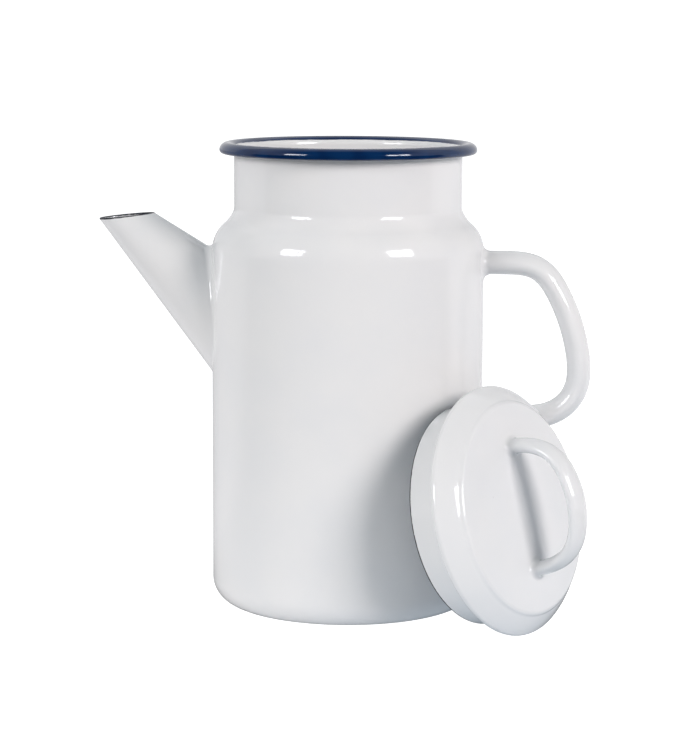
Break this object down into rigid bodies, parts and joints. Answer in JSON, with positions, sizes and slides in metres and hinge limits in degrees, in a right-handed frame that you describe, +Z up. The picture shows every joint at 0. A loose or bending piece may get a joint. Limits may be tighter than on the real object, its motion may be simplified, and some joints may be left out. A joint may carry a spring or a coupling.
{
  "type": "enamel coffee pot",
  "caption": "Tall enamelled steel pot with a narrowed neck, navy rolled rim, conical spout, strap handle and a loose plug lid leaning on its side.",
  "frame": {"origin": "centre of the pot's flat base, on the surface it stands on", "axes": "+Z up along the pot's axis, +X towards the handle, -X towards the spout"},
  "size_m": [0.2271, 0.1605, 0.212],
  "materials": {
    "white_enamel": "glossy white vitreous enamel on steel",
    "navy_enamel": "glossy navy vitreous enamel on the rolled steel rim"
  },
  "bodies": {
    "pot": {"body_shell": "white_enamel", "rolled_rim": "navy_enamel", "spout": "white_enamel", "spout_weld": "white_enamel", "handle": "white_enamel", "handle_upper_weld": "white_enamel", "handle_lower_weld": "white_enamel"},
    "lid": {"lid_cover": "white_enamel", "lid_plug_ring": "white_enamel", "lid_plug_weld": "white_enamel", "lid_handle": "white_enamel", "lid_handle_upper_weld": "white_enamel", "lid_handle_lower_weld": "white_enamel"}
  },
  "joints": [
    {"name": "lid_lift_off", "type": "slide", "parent": "pot", "child": "lid", "axis": [0.8511, -0.4669, 0.2402], "range_m": [0, 0.12]}
  ]
}
